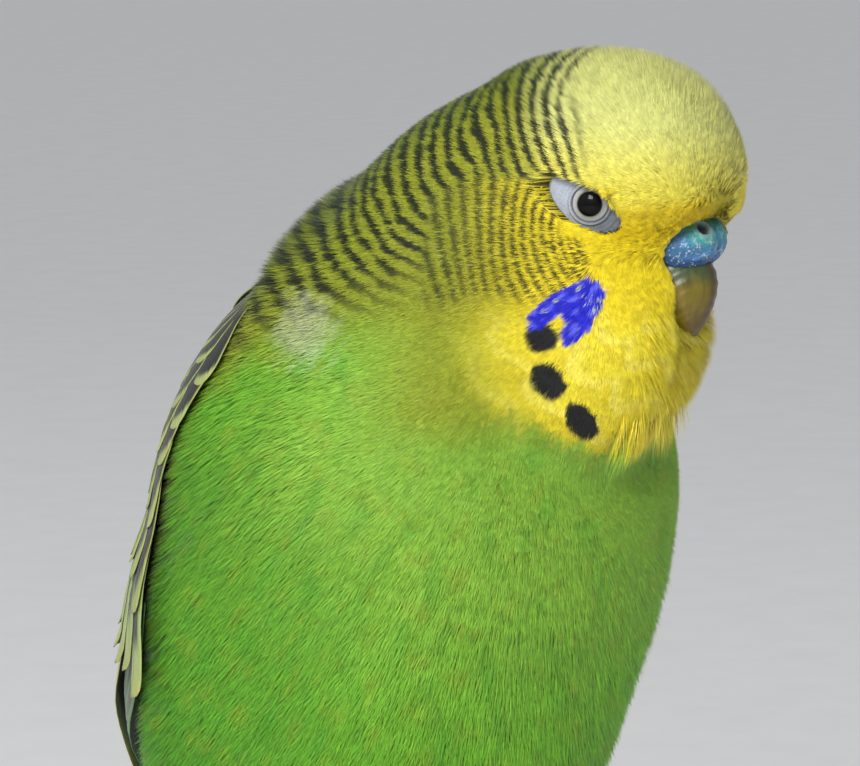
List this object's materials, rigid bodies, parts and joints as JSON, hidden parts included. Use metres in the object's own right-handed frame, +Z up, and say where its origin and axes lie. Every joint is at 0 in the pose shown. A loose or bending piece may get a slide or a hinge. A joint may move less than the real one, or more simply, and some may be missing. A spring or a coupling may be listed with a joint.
{
  "type": "budgerigar",
  "caption": "Light green budgerigar, life size, perched upright with its head turned to its left, on a short cut perch over a round display stand.",
  "frame": {"origin": "centre of the stand base's underside, on the surface that it stands on", "axes": "+Z up, the bird's breast faces -Y, its left side is +X and its back and tail are towards +Y"},
  "size_m": [0.1156, 0.1335, 0.2109],
  "materials": {
    "plumage_yellow": "short yellow feathers, barred with black behind",
    "plumage_barred": "yellow-green feathers with wavy black bars",
    "plumage_green": "light green feathers, silky",
    "wing_feathers": "black feathers edged with yellow-green",
    "tail_feathers": "dark blue and green long feathers",
    "beak_horn": "olive horn, satin",
    "cere": "blue skin with pale flakes",
    "eye": "wet black with a pale grey iris",
    "eye_skin": "bare pale grey skin",
    "foot_skin": "scaly pink-grey skin",
    "claw_horn": "dark horn, satin",
    "perch_bark": "thin brown bark, pale cut ends",
    "stand_wood": "smooth satin varnish",
    "stand_steel": "brushed"
  },
  "bodies": {
    "root": {"head": "plumage_yellow", "neck": "plumage_barred", "torso": "plumage_green", "thigh_left": "plumage_green", "thigh_right": "plumage_green", "wing_left": "wing_feathers", "wing_right": "wing_feathers", "tail": "tail_feathers", "beak_upper": "beak_horn", "beak_lower": "beak_horn", "cere": "cere", "eye_left": "eye", "eye_right": "eye", "eyelid_left": "eye_skin", "eyelid_right": "eye_skin", "foot_left": "foot_skin", "foot_right": "foot_skin", "claw_left_1": "claw_horn", "claw_right_1": "claw_horn", "claw_left_2": "claw_horn", "claw_right_2": "claw_horn", "claw_left_3": "claw_horn", "claw_right_3": "claw_horn", "claw_left_4": "claw_horn", "claw_right_4": "claw_horn", "perch": "perch_bark", "stand_base": "stand_wood", "stand_rod": "stand_steel"}
  },
  "joints": []
}
